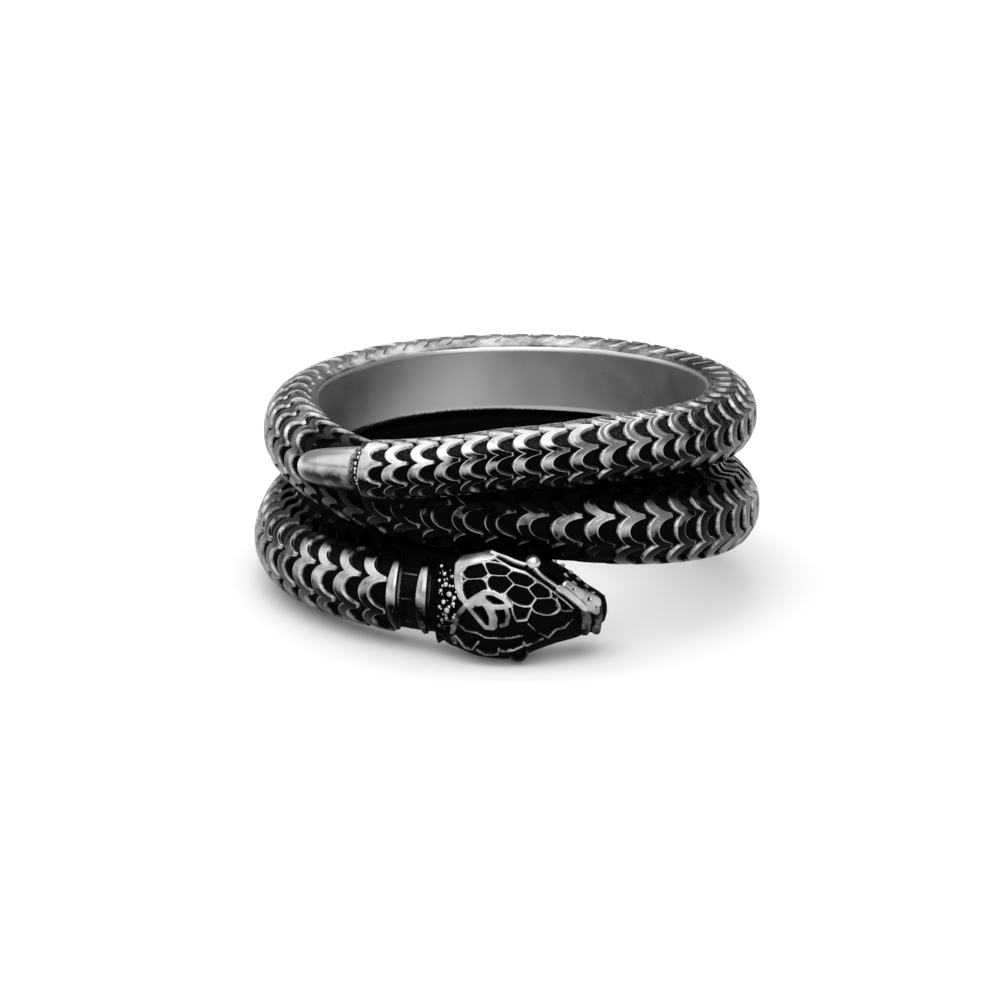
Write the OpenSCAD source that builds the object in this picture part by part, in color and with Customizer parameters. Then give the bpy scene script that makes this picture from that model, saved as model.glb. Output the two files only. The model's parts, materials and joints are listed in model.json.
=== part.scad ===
// Snake wrap ring: a tapered snake body wound two and a quarter turns about a finger, with a smooth
// tail tip lying over the second turn, a neck with two collar bands and a flat head. One casting.
// Lengths are millimetres and angles degrees. The ring stands on z = 0 with its bore on the z axis.

/* [Bore and body] */
// Radius of the finger hole
bore_radius = 9.5; // [7:0.05:12]
// Distance from the bore to the section's centre, as a share of half the body's height
centre_share = 0.53; // [0.4:0.01:0.8]
// Half the section's depth, as a share of half the body's height
depth_share = 0.88; // [0.7:0.01:1]
// Angle from the start of the body to the x axis
start_azimuth = -150; // [-180:1:180]

/* [Scales] */
// Width of one scale round the section
scale_width = 44; // [36:1:60]
// Angle round the section of the lowest line of scale points
first_points = -108; // [-130:1:-90]
// Scales side by side round the outside
scales_across = 5; // [4:1:6]
// Depth of the pockets between the ridges
relief = 0.28; // [0.05:0.01:0.4]
// How far a scale bulges towards the tail, as a share of the row spacing
bulge_share = 0.8; // [0:0.05:1]
// Where the pocket is deepest, as a share of the row spacing after the ridge
pocket_share = 0.45; // [0.2:0.05:0.8]
// Row spacing at the tail
tail_spacing = 5.0; // [4:0.1:7]
// Row spacing on the full body
body_spacing = 7.15; // [6:0.05:9]
// Angle along the body of the first row
first_row = 30.5; // [25:0.5:40]
// Angle along the body after which no row starts
last_row = 745; // [700:1:750]

/* [Collar and head] */
// Angle along the body of the first collar band
first_band = 752.2; // [748:0.1:755]
// Angle from the first collar band to the second
band_step = 7.2; // [4:0.1:9]
// Angle that a collar band covers
band_width = 3.2; // [1:0.1:4]
// How far the middle of a band bows towards the tail, negative for the head
band_bow = -0.6; // [-3:0.2:6]
// Depth of the neck below the bands
neck_depth = 0.25; // [0.05:0.05:0.5]
// How far the snout's end stands out past its last ring
snout = 0.2; // [0.1:0.05:0.5]
// Radius of an eye
eye_radius = 0.42; // [0.2:0.02:0.8]
// Angle along the body of the eyes
eye_along = 784.5; // [780:0.5:790]
// Angle round the section of the eyes
eye_around = 64; // [50:1:75]

/* [Hidden] */
steel = [0.62, 0.63, 0.65];

// The body's centre line. Columns: angle along the body, height, half the body's height, stand-off
ALONG = 0;
HEIGHT = 1;
HALF = 2;
OFF = 3;
BODY = [
    [8, 8.25, 1.25, 2.95],
    [30, 9.15, 1.42, 2.95],
    [45, 9.60, 1.46, 2.50],
    [60, 9.92, 1.50, 1.60],
    [75, 9.92, 1.57, 0.90],
    [90, 9.79, 1.64, 0.30],
    [105, 9.55, 1.69, 0.00],
    [150, 8.86, 1.77, 0.00],
    [200, 8.08, 1.88, 0.00],
    [240, 7.67, 1.96, 0.00],
    [290, 7.65, 1.92, 0.00],
    [330, 7.82, 1.87, 0.00],
    [360, 7.70, 1.96, 0.00],
    [390, 7.22, 2.06, 0.00],
    [405, 6.92, 1.98, 0.00],
    [418, 6.73, 1.88, 0.00],
    [432, 6.40, 1.88, 0.00],
    [450, 5.97, 1.99, 0.00],
    [470, 5.42, 2.03, 0.00],
    [510, 4.25, 1.95, 0.00],
    [560, 3.78, 2.18, 0.00],
    [600, 3.55, 2.32, 0.00],
    [635, 3.30, 2.38, 0.00],
    [665, 2.75, 2.28, 0.00],
    [690, 2.31, 2.17, 0.00],
    [720, 2.51, 2.15, 0.00],
    [745, 2.68, 2.20, 0.00],
    [760, 2.69, 2.22, 0.00],
    [804, 2.85, 2.15, 0.00],
];

// Cubic through a column of a table
function secant(t, c, i) = (t[i + 1][c] - t[i][c]) / (t[i + 1][0] - t[i][0]);
function slope(t, c, i) =
    i == 0 ? secant(t, c, 0)
    : i == len(t) - 1 ? secant(t, c, i - 1)
    : secant(t, c, i - 1) * secant(t, c, i) <= 0 ? 0
    : (t[i + 1][c] - t[i - 1][c]) / (t[i + 1][0] - t[i - 1][0]);
function row_before(t, x, i = 0) = i >= len(t) - 2 || x < t[i + 1][0] ? i : row_before(t, x, i + 1);
function blend(y0, y1, s0, s1, w, u) =
    y0 * (1 + 2 * u) * (1 - u) * (1 - u) + y1 * u * u * (3 - 2 * u)
    + w * (s0 * u * (1 - u) * (1 - u) - s1 * u * u * (1 - u));
function smooth(t, c, x) =
    let (i = row_before(t, x), w = t[i + 1][0] - t[i][0])
    blend(t[i][c], t[i + 1][c], slope(t, c, i), slope(t, c, i + 1), w, (x - t[i][0]) / w);

// The smooth tail tip. Columns: angle along the body, half its height
TIP = [
    [8.0, 0.10],
    [8.5, 0.34],
    [10.0, 0.58],
    [13.0, 0.80],
    [17.0, 0.92],
    [21.5, 0.97],
    [25.3, 0.98],
    [25.6, 0.86],
    [26.0, 0.86],
];

// The head. Columns: angle along the body, height, half its width, depth off the bore
WIDE = 2;
DEEP = 3;
HEAD = [
    [764.5, 2.72, 2.25, 2.90],
    [766.3, 2.78, 2.42, 3.30],
    [768.5, 2.84, 2.53, 3.65],
    [773.0, 2.85, 2.77, 4.05],
    [778.0, 2.78, 2.79, 4.15],
    [782.5, 2.76, 2.70, 4.05],
    [787.0, 2.80, 2.42, 3.80],
    [791.5, 2.74, 2.15, 3.45],
    [796.3, 2.46, 1.76, 3.05],
    [799.3, 2.25, 1.42, 2.80],
    [802.0, 2.18, 1.05, 2.45],
    [804.0, 2.20, 0.55, 2.00],
];

// The head's section, widest at the jaw line. Columns: angle round the section, share of the depth,
// share of half the width
JAW = [
    [0, 1.00, 0.00],
    [22, 0.98, 0.36],
    [44, 0.93, 0.68],
    [60, 0.84, 0.88],
    [75, 0.70, 1.00],
    [95, 0.52, 0.80],
    [115, 0.34, 0.66],
    [140, 0.10, 0.58],
    [160, -0.10, 0.45],
    [180, -0.15, 0.00],
];

// A point of the skin: along the body, round the section from the outside up, above the plain skin
function section(along, half, around, lift) =
    let (azimuth = along + start_azimuth,
         radius = bore_radius + centre_share * smooth(BODY, HALF, along) + smooth(BODY, OFF, along)
                  + (depth_share * half + lift) * cos(around))
    [radius * cos(azimuth), radius * sin(azimuth),
     smooth(BODY, HEIGHT, along) + (half + lift) * sin(around)];
function skin(along, around, lift) = section(along, smooth(BODY, HALF, along), around, lift);

// Angles round the section, each with its place across a scale: 0 at a point, 0.5 at the bulge
QUARTERS = [0, 0.25, 0.5, 0.75];
ROUND = concat(
    [for (j = [0:scales_across - 1]) for (q = QUARTERS) [first_points + (j + q) * scale_width, q]],
    [[first_points + scales_across * scale_width, 0]],
    [for (j = [1:2]) let (a = first_points + scales_across * scale_width)
        [a + j * (360 - scales_across * scale_width) / 3, 0]]);

function bulge(q) = sqrt(1 - pow(2 * q - 1, 2));
function spacing(along) =
    tail_spacing + (body_spacing - tail_spacing) * min(1, max(0, (along - 50) / 35));
ROWS = [for (a = first_row; a < last_row; a = a + spacing(a)) a];

function tip_ring(t) = [for (r = ROUND) section(t[ALONG], t[1], r[0], 0)];
function row_ring(a, share, lift) = [for (r = ROUND)
    skin(a + spacing(a) * (share - bulge_share * bulge(r[1])), r[0], lift)];
function band_ring(a, lift) = [for (r = ROUND)
    skin(a - band_bow * (1 + cos(r[0])) / 2, r[0], lift)];

function head_point(t, around) =
    let (turned = around > 180 ? around - 360 : around,
         azimuth = t[ALONG] + start_azimuth,
         radius = bore_radius + t[DEEP] * smooth(JAW, 1, abs(turned)))
    [radius * cos(azimuth), radius * sin(azimuth),
     t[HEIGHT] + t[WIDE] * sign(turned) * smooth(JAW, 2, abs(turned))];
function head_ring(t) = [for (r = ROUND) head_point(t, r[0])];

// Collar rings. Columns: angle from the first band's start, lift
COLLAR = [for (b = [0, 1]) for (s = [[-0.6, -neck_depth], [0, 0], [band_width, 0],
    [band_width + 0.6, -neck_depth]]) [b * band_step + s[0], s[1]]];

RINGS = concat(
    [for (t = TIP) tip_ring(t)],
    [for (a = ROWS) for (s = [[0, 0], [pocket_share, -relief]]) row_ring(a, s[0], s[1])],
    [for (c = COLLAR) band_ring(first_band + c[0], c[1])],
    [for (t = HEAD) head_ring(t)]);

// Closed skin through rings of the same number of points
function strip(i, n) = [for (j = [0:n - 1]) let (k = (j + 1) % n)
    each [[i * n + j, (i + 1) * n + j, (i + 1) * n + k], [i * n + j, (i + 1) * n + k, i * n + k]]];
function middle(ring) =
    [for (c = [0:2]) let (v = [for (p = ring) p[c]]) v * [for (x = v) 1] / len(v)];
module loft(rings, push) {
    n = len(rings[0]);
    m = len(rings);
    polyhedron(
        points = concat([for (r = rings) each r], [middle(rings[0]), middle(rings[m - 1]) + push]),
        faces = concat(
            [for (i = [0:m - 2]) each strip(i, n)],
            [for (j = [0:n - 1]) [m * n, j, (j + 1) % n]],
            [for (j = [0:n - 1]) [m * n + 1, (m - 1) * n + (j + 1) % n, (m - 1) * n + j]]),
        convexity = 10);
}

module eye(side) {
    translate(head_point([eye_along, for (c = [HEIGHT, WIDE, DEEP]) smooth(HEAD, c, eye_along)],
                         side * eye_around))
        sphere(r = eye_radius, $fn = 24);
}

module snake_ring() {
    end_azimuth = HEAD[len(HEAD) - 1][ALONG] + start_azimuth;
    color(steel) difference() {
        union() {
            loft(RINGS, snout * [-sin(end_azimuth), cos(end_azimuth), 0]);
            for (side = [-1, 1]) eye(side);
        }
        translate([0, 0, -1]) cylinder(r = bore_radius, h = 14, $fn = 180);
    }
}

snake_ring();
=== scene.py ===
"""Snake wrap ring: the finished looks of the cast steel ring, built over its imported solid.

Angles are degrees, along the body or round its section. Table lengths are millimetres.
"""

import json
import math

import bmesh
import bpy
import numpy as np
from bpy.props import FloatProperty, FloatVectorProperty, PointerProperty
from mathutils import Matrix, Vector


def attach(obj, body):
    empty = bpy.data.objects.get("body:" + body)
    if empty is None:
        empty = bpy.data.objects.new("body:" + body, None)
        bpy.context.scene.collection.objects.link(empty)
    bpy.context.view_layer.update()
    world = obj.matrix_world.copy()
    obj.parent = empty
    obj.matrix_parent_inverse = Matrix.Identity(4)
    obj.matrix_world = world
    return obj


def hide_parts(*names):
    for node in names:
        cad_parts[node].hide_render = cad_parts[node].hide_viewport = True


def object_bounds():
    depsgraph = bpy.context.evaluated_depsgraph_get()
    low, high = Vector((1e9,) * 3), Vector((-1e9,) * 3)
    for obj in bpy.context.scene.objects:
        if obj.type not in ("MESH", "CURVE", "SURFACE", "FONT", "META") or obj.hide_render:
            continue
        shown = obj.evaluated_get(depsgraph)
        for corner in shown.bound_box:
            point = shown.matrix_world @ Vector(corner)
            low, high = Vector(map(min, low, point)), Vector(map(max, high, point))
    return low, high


bl_info = {
    "name": "Snake wrap ring",
    "version": (1, 0, 0),
    "blender": (4, 5, 0),
    "location": "View3D > Sidebar > Ring",
    "description": "Builds the scaled body, tail tip, collar, head and stage of a cast snake ring",
    "category": "Add Mesh",
}

MM = 0.001
NODE = "snake_ring"

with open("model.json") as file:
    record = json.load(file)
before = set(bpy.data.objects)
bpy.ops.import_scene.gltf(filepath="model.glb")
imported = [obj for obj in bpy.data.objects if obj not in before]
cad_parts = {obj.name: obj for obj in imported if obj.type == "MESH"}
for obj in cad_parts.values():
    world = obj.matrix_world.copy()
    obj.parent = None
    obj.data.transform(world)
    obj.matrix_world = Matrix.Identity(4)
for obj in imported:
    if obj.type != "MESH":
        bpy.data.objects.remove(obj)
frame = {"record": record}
cad_low, cad_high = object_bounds()
bore = next(m for m in frame["record"]["mounts"] if m["name"] == "finger_hole")
BORE_RADIUS = bore["dims"]["r_mm"]

# Section of the body, as shares of half its height: distance from the bore to the centre, half its depth
CENTRE_SHARE = 0.53
DEPTH_SHARE = 0.88
# Angle from the start of the body to the x axis
START_AZIMUTH = -150

# The body's centre line: angle along the body, height, half the body's height, stand-off from the finger
BODY = np.array([
    (8, 8.25, 1.25, 2.95),
    (30, 9.15, 1.42, 2.95),
    (45, 9.60, 1.46, 2.50),
    (60, 9.92, 1.50, 1.60),
    (75, 9.92, 1.57, 0.90),
    (90, 9.79, 1.64, 0.30),
    (105, 9.55, 1.69, 0.00),
    (150, 8.86, 1.77, 0.00),
    (200, 8.08, 1.88, 0.00),
    (240, 7.67, 1.96, 0.00),
    (290, 7.65, 1.92, 0.00),
    (330, 7.82, 1.87, 0.00),
    (360, 7.70, 1.96, 0.00),
    (390, 7.22, 2.06, 0.00),
    (405, 6.92, 1.98, 0.00),
    (418, 6.73, 1.88, 0.00),
    (432, 6.40, 1.88, 0.00),
    (450, 5.97, 1.99, 0.00),
    (470, 5.42, 2.03, 0.00),
    (510, 4.25, 1.95, 0.00),
    (560, 3.78, 2.18, 0.00),
    (600, 3.55, 2.32, 0.00),
    (635, 3.30, 2.38, 0.00),
    (665, 2.75, 2.28, 0.00),
    (690, 2.31, 2.17, 0.00),
    (720, 2.51, 2.15, 0.00),
    (745, 2.68, 2.20, 0.00),
    (760, 2.69, 2.22, 0.00),
    (804, 2.85, 2.15, 0.00),
])
HEIGHT, HALF, OFF = 1, 2, 3

# The smooth tail tip: angle along the body, half its height
TIP = np.array([
    (8.0, 0.10),
    (8.5, 0.34),
    (10.0, 0.58),
    (13.0, 0.80),
    (17.0, 0.92),
    (21.5, 1.00),
    (26.6, 1.06),
    (27.2, 0.94),
    (31.0, 0.92),
])

# Rings of the tip: first and last angle along the body, how many
TIP_RINGS = ((8.0, 10, 14), (10.3, 26.4, 40), (26.5, 31.0, 24))
TIP_COLUMNS = 73
# Half height of the tip's point, and how far its outline follows straight lines rather than the curve
TIP_POINT = 0.02
TIP_STRAIGHT = 0.35
# Where the tip's end loses its polish: the ends of each ramp along the body, share that is lost
TIP_DULL = ((25.6, 26.8, 0.55), (27.0, 27.6, 0.2))
# The tip is painted bright on its upper side, as if lit from above, and into shade below: the value on its
# shaded side, and the angles round the section where the rest comes in
TIP_SHADED_SIDE = 0.15
TIP_FACING = (-24, 24)

# Beads round the tip's end: how many, angle along the body, radius, lift off the skin
TIP_BEADS = 26
TIP_BEAD_ALONG = 27.9
TIP_BEAD = 0.08
TIP_BEAD_LIFT = 0.04

# The head: angle along the body, height, half its width, depth off the bore
HEAD = np.array([
    (764.5, 2.72, 2.25, 2.90),
    (766.3, 2.78, 2.42, 3.30),
    (768.5, 2.84, 2.53, 3.65),
    (773.0, 2.85, 2.77, 4.05),
    (778.0, 2.78, 2.79, 4.15),
    (782.5, 2.76, 2.70, 4.05),
    (787.0, 2.80, 2.42, 3.80),
    (791.5, 2.74, 2.15, 3.45),
    (796.3, 2.46, 1.76, 3.05),
    (799.3, 2.25, 1.42, 2.80),
    (802.0, 2.00, 1.28, 2.45),
    (804.0, 1.98, 1.00, 2.00),
])
WIDE, DEEP = 2, 3

# The head's section: angle round the section, share of the depth, share of half the width
JAW = np.array([
    (0, 1.00, 0.00),
    (22, 0.98, 0.36),
    (44, 0.93, 0.68),
    (60, 0.84, 0.88),
    (75, 0.70, 1.00),
    (95, 0.52, 0.80),
    (115, 0.34, 0.66),
    (140, 0.10, 0.58),
    (160, -0.10, 0.45),
    (180, -0.15, 0.00),
])

# Places on the head are millimetres ahead of the nape and across from the middle line, up positive.
NAPE = 764.0
HEAD_RADIUS = 13.3

# The head's scales: ahead, across, half length, half width, turn
HEAD_SCALES = np.array([
    (2.13, 1.98, 0.66, 0.38, 19),
    (2.02, 1.02, 0.72, 0.50, 35),
    (3.12, 2.17, 0.68, 0.31, -9),
    (3.34, 1.50, 0.60, 0.43, -3),
    (4.27, 1.70, 0.70, 0.30, -22),
    (4.28, 0.94, 0.76, 0.41, -29),
    (5.22, 1.01, 0.58, 0.32, -35),
    (5.50, 0.29, 0.66, 0.40, -17),
])

# Raised ridges on the head: half width, height over the skin, brightness as painted light and shade, then
# points ahead and across
HEAD_RIDGES = (
    # frame at the back
    (0.33, 0.05, 1.0, ((1.30, 2.05), (1.50, 2.38), (1.95, 2.56), (2.50, 2.76), (2.85, 2.96))),
    (0.24, 0.05, 1.0, ((1.25, 2.10), (1.25, 1.55), (1.32, 1.05))),
    (0.15, 0.04, 0.9, ((1.32, 1.10), (1.50, 0.65), (1.73, 0.31))),
    # star
    (0.15, 0.06, 1.0, (
        (1.73, 0.31), (2.20, 0.72), (2.60, 1.02), (3.02, 1.04), (3.50, 0.80), (3.80, 0.48),
    )),
    (0.26, 0.04, 0.8, ((2.05, 0.38), (2.45, 0.60), (2.75, 0.45))),
    (0.12, 0.04, 0.7, ((1.73, 0.31), (2.02, -0.02), (2.37, -0.40), (2.68, -0.72), (3.00, -0.72))),
    (0.23, 0.04, 0.75, ((2.70, 0.45), (2.88, 0.20), (3.03, -0.18), (3.02, -0.58))),
    (0.15, 0.04, 0.85, ((2.90, 0.36), (3.30, 0.36), (3.62, 0.42))),
    (0.12, 0.04, 0.7, ((3.60, 0.40), (3.72, -0.05), (3.64, -0.45), (3.40, -0.55))),
    (0.14, 0.03, 0.55, ((1.73, 0.27), (1.31, -0.30), (1.15, -0.80), (0.95, -1.40), (1.10, -1.85))),
    # net of the lower half
    (0.06, 0.00, 0.8, ((3.85, 0.51), (3.94, 0.05), (4.12, -0.32), (4.59, -0.31), (4.77, 0.17))),
    (0.05, 0.00, 0.45, (
        (1.22, -0.68), (1.68, -1.06), (2.30, -1.09), (2.65, -1.27), (3.76, -1.21), (4.40, -1.09),
    )),
    (0.06, 0.02, 0.75, ((1.10, -1.45), (1.31, -1.60), (1.64, -2.05), (2.01, -2.07), (2.33, -1.56))),
    (0.06, 0.02, 0.75, (
        (2.24, -2.05), (2.65, -2.31), (3.25, -2.18), (3.30, -1.80), (3.43, -1.97), (3.99, -1.90),
    )),
    (0.06, 0.02, 0.6, ((3.99, -1.90), (4.45, -1.65), (4.48, -1.45), (4.60, -1.68), (5.41, -1.41))),
    (0.05, 0.00, 0.6, (
        (4.68, -0.52), (5.09, -0.98), (5.69, -1.41), (6.06, -1.02), (6.52, -0.92), (6.94, -0.43),
    )),
    (0.05, 0.00, 0.6, ((6.10, 0.60), (6.08, 0.20), (6.40, -0.05), (6.90, 0.00))),
    # brow and the line beside it
    (0.08, 0.14, 1.0, ((2.85, 3.06), (3.53, 2.81), (3.99, 2.58), (4.45, 2.40), (4.75, 2.48))),
    (0.06, 0.00, 0.8, ((2.90, 2.85), (3.80, 2.29), (4.49, 2.04), (5.46, 1.26), (6.29, 0.61), (6.94, 0.13))),
    # snout
    (0.08, 0.20, 1.0, ((4.95, 2.10), (5.20, 1.80), (5.46, 1.58), (6.05, 1.14))),
    (0.21, 0.22, 1.0, ((6.15, 1.08), (6.50, 0.88), (7.05, 0.53), (7.50, 0.22))),
    (0.30, 0.14, 1.0, ((6.62, 1.18), (7.20, 0.92), (7.90, 0.72), (8.35, 0.60))),
    (0.30, 0.10, 0.85, ((7.30, 0.55), (7.80, 0.35), (8.25, 0.25))),
    (0.30, 0.08, 0.34, ((7.66, 0.05), (7.78, -0.45), (7.72, -1.00))),
    (0.34, 0.06, 0.28, ((8.45, 0.45), (8.50, -0.15), (8.46, -0.85))),
)

# Small raised scales beside the snout: ahead, across, half length, half width, turn
HEAD_DASHES = np.array([
    (6.08, 2.48, 0.14, 0.06, -25),
    (6.52, 2.24, 0.15, 0.06, -38),
    (6.94, 1.90, 0.15, 0.06, -40),
    (7.36, 1.58, 0.16, 0.06, -30),
    (7.82, 1.28, 0.14, 0.06, -35),
    (6.62, 1.70, 0.16, 0.06, -45),
    (7.06, 1.36, 0.16, 0.06, -30),
    (7.68, 1.08, 0.18, 0.07, -10),
    (8.18, 1.02, 0.16, 0.07, 10),
])

# Pits in the head: ahead, across, half length, half width, turn, depth
HEAD_PITS = np.array([
    (3.05, 0.68, 0.36, 0.15, -14, 0.26),
    (2.44, -0.10, 0.48, 0.16, -52, 0.26),
    (3.36, -0.06, 0.28, 0.15, -72, 0.26),
    (5.92, 1.60, 0.46, 0.20, -42, 0.30),
    (7.81, 0.68, 0.13, 0.09, 40, 0.22),
    (8.20, -0.40, 0.28, 0.06, -85, 0.18),
    (8.28, 0.30, 0.10, 0.05, -60, 0.14),
    (6.90, 1.05, 0.10, 0.05, -40, 0.12),
])

# A sunk eye moves towards a point this far off the bore
EYES_TOWARDS = 2
# Eyes: ahead, across, share of the eye's radius, depth of the middle under the skin
EYES = (
    (4.88, 2.48, 1.0, 0.0),
    (4.25, -2.60, 1.25, 0.33),
)

# Beads on the nape: ahead, across, share of a bead's radius
NAPE_BEADS = (
    (0.50, 1.55, 1.0), (0.62, 1.07, 1.1), (0.85, 0.64, 1.2), (1.12, 0.50, 0.9), (0.52, 0.20, 1.1),
    (1.08, 0.20, 0.9), (0.74, -0.18, 1.3), (0.70, -0.60, 1.0), (1.10, -0.48, 0.8), (0.60, -1.08, 1.1),
    (0.16, 1.15, 0.8), (0.30, 0.70, 0.9), (0.22, -0.12, 0.8), (0.40, -0.75, 0.8), (0.20, -1.10, 0.9),
    (0.25, -1.50, 0.9), (0.55, -1.62, 0.8), (0.85, 0.02, 0.7), (0.95, 1.50, 0.8), (0.20, 1.85, 0.8),
    (0.98, -0.95, 0.7), (0.95, -1.45, 0.7), (0.10, 0.35, 0.7), (0.12, -1.90, 0.7),
)

# Small beads scattered among them: how many, in how many lines round the neck, how far ahead the first line
# lies, and the step to the next
SMALL_BEADS = 44
SMALL_LINES = 4
SMALL_FIRST = 0.08
SMALL_STEP = 0.34
# The beads lie between these places across, and have this share of a bead's radius, more or less
SMALL_ACROSS = (-2.0, 1.9)
SMALL_SHARE = 0.45

# Beads are painted into shade below the first of these heights and painted bright above the second, as if lit
# from above
BEAD_HEIGHTS = (1.2, 3.0)

# The neck's skin under the beads, below the plain skin
NECK_SKIN = -0.28
# Angles round the section over which places across are measured: first, last, how many
NAPE_AROUND = (-100, 100, 201)

# Angles along the body between which another turn can lie beside it
TURNS_START = 30
HEAD_END = 804

# Unseen inner edges swell to close the gap to the next turn: overlap with it and largest swell, angles round
# the section where the swell comes in, angle along the body over which it starts and stops
SWELL_OVERLAP = 0.15
SWELL_MOST = 0.8
SWELL_AROUND = (88, 106)
SWELL_ENDS = 8

# Clear space where no turn is near, and what each degree past the end of a turn adds to the space beside it
FAR_AWAY = 9.0
SPACE_PAST_END = 0.25

# Lines across one raised band of scales: place from its outer edge 0 to its inner edge 1, extra share
# of the row spacing, depth as a share of the relief, share of the painted edge highlight, share of the
# engraved line
BAND_LINES = (
    (0.0, -0.035, 1.0, 0, 0),
    (0.0, 0.010, 0.12, 1, 0),
    (0.0, 0.040, 0.00, 1, 0),
    (0.0, 0.075, 0.02, 0, 0),
    (0.5, -0.035, -0.02, 0, 0),
    (0.5, 0.000, -0.02, 0, 1),
    (0.5, 0.035, -0.02, 0, 0),
    (1.0, -0.075, 0.02, 0, 0),
    (1.0, -0.040, 0.00, 1, 0),
    (1.0, -0.010, 0.12, 1, 0),
    (1.0, 0.035, 1.0, 0, 0),
)
FLOOR_LINES = (0.33, 0.67)
# Distance from a band's edge to the pocket beside it, in row spacings
EDGE_GAP = 0.035
# Depth of a pocket's floor as a share of the relief, and depth above which a line is no longer polished
FLOOR_DEPTH = 1.08
POLISHED_TO = 0.5
# Share of the relief left where two turns touch, clear space over which the rest and the polish come back
TIGHT_RELIEF = 0.2
TIGHT_SPACE = (0.05, 0.6)
TIGHT_POLISH = (0.02, 0.5)

# Scales round the section: angle of the lowest points, width and number of scales, lines across each
FIRST_POINTS = -108
SCALE_WIDTH = 44
SCALES_ACROSS = 5
SAMPLES_PER_SCALE = 18
# How much closer the lines lie at the sides of a scale
SAMPLE_EASE = 0.55
# Lines across the plain skin: above the scales, inside the bore, below it
PLAIN_LINES = (5, 12, 6)
# Scales fade out between these angles round the section
FADE_AROUND = (113, 125)
# A band's outer and inner edges are arcs over these shares of a circle's width. The inner one spans this
# share of a scale
OUTER_ARC = 0.9
INNER_ARC = 0.999
INNER_SPAN = 0.83

# Angle along the body of the first row of points, and the angle after which no row starts
FIRST_ROW = 34.8
LAST_ROW = 755
# The engraved line: angles along the body, angles round the section where it starts and stops, depth as a
# share of the relief, polish that it loses
ENGRAVED = (80, 170)
ENGRAVED_STARTS = (20, 28)
ENGRAVED_STOPS = (100, 80)
ENGRAVED_DEPTH = 0.08
ENGRAVED_DULL = 0.15
# Spacing of the rows: angle along the body, angle from a row to the next
SPACING = np.array([
    (50, 5.08),
    (60, 5.82),
    (70, 6.69),
    (80, 7.21),
    (110, 7.05),
    (395, 7.16),
    (420, 7.47),
    (430, 7.78),
    (440, 7.69),
    (455, 7.42),
    (470, 7.01),
    (650, 7.19),
])
# The first turn's back is worn nearly smooth: angles along the body where it starts and stops, ends of the
# ramps round the section, share of relief lost and share of polish gained
BACK_STARTS = (120, 160)
BACK_STOPS = (370, 330)
BACK_RELIEF = (50, 80, 0.75)
BACK_POLISH = (66, 90)
BACK_SHINE = 0.85

# Darker patches at the sides of the scales beside the tip: ends of the ramps along the body, round the
# section and across a scale, and the share of brightness that they take
PATCHY_STARTS = (42, 50)
PATCHY_STOPS = (82, 68)
PATCHY_BELOW = (52, 34)
PATCHY_ACROSS = (0.3, 0.7)
PATCHY_SHARE = 0.9

# Collar bands: angle along the body of each, width, how far the middle bows, angle round the section of the
# middle, how fast and by what curve they narrow round the section, least share of the width, where they rise
BANDS = (753.25, 760.35)
BAND_WIDTH = 2.9
BAND_BOW = -0.6
BAND_MIDDLE = 6
BAND_NARROWS = 1.42
BAND_TAPER = 0.6
BAND_LEAST = 0.12
BAND_RISES = (0.02, 0.16)
# Height of a band over the neck, and the angle along the body that its foot takes on each side
BAND_HEIGHT = 0.30
BAND_FOOT = 0.35
# Profile across a band: share of its width, extra angle, share of its height, polish
BAND_PROFILE = (
    (0, -0.35, 0.0, 0),
    (0, 0.0, 0.95, 1),
    (0, 0.20, 1.08, 1),
    (0.5, 0, 1.10, 1),
    (1, -0.62, 1.08, 1),
    (1, -0.50, 0.95, 0),
    (1, -0.15, 1.0, 0),
    (1, 0.0, 0.88, 0.8),
    (1, 0.3, 0.0, 0),
)
COLLAR_COLUMNS = 241
# Ribs between the bands: angles round the section, ends of each flank, height and polish
COLLAR_RIBS = (-33, 2, 37)
RIB_FLANK = (2.6, 0.8)
RIB_HEIGHT = 0.16
RIB_POLISH = 0.5
RIB_LINES = (0.1, 0.3, 0.5, 0.7, 0.9)
# The neck: depth below the plain skin, angles round the section where it comes up, angles along the body of
# its first lines, of its last lines, and of its rise to the head
NECK_DEPTH = 0.30
NECK_RISES = (55, 85)
NECK_FIRST = (745.6, 749.5)
NECK_LAST = (763.2, 766.0, 7)
NECK_LEVELS = (766.0, 763.0)
# Share of the painted edge highlight on the whole collar
COLLAR_EDGE = 0.3

# Painted light and wear. The upper side of the section is painted bright, as if lit from above, and the lower
# side is painted shade: ends of a ramp in degrees round the section
FACING_UP = (-16, 18)
# Painted shade near the top of the section and at the ring's right and left: ends of a ramp round the section
# or in millimetres to the right or left, share that it loses
TOP_DIM = (60, 90, 0.3)
RIGHT_DIM = (6.0, 9.8, 0.9)
LEFT_DIM = (8.8, 11.8, 0.85)
# Painted shade at the back, on both sides of one place: ramp to the back, place, ramp to the sides, share
BACK_RAMP = (4, 9)
BACK_MIDDLE = -2
BACK_SIDES = (4, 7)
BACK_DIM = 0.45
# Painted shadow under a turn that stands out farther, all but one painted highlight line round the section
COVERED = (0.1, 1.0)
COVERED_DIM = 0.92
LINE_AROUND = 14
LINE_ENDS = (16, 7)
LINE_SHARE = 0.36
# Edges of the bands keep a share of painted highlight on the shaded side
EDGE_SHARE = 0.6
EDGE_DIM = (-34, -60, 0.5)
# Painted shade between the turns, where patina also lies: clear space that leaves the steel bright, for the
# upper and the lower half of the section
UPPER_HALF = (35, 55)
UPPER_SPACE = (0.5, 3.0)
LOWER_SPACE = (0.2, 2.0)
# The wall of the bore: heights where it starts, angles round the section, wear above 1 for a satin finish
WALL_HEIGHTS = (5.8, 6.3)
WALL_AROUND = (121, 128)
WALL_WEAR = 1.7
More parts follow.
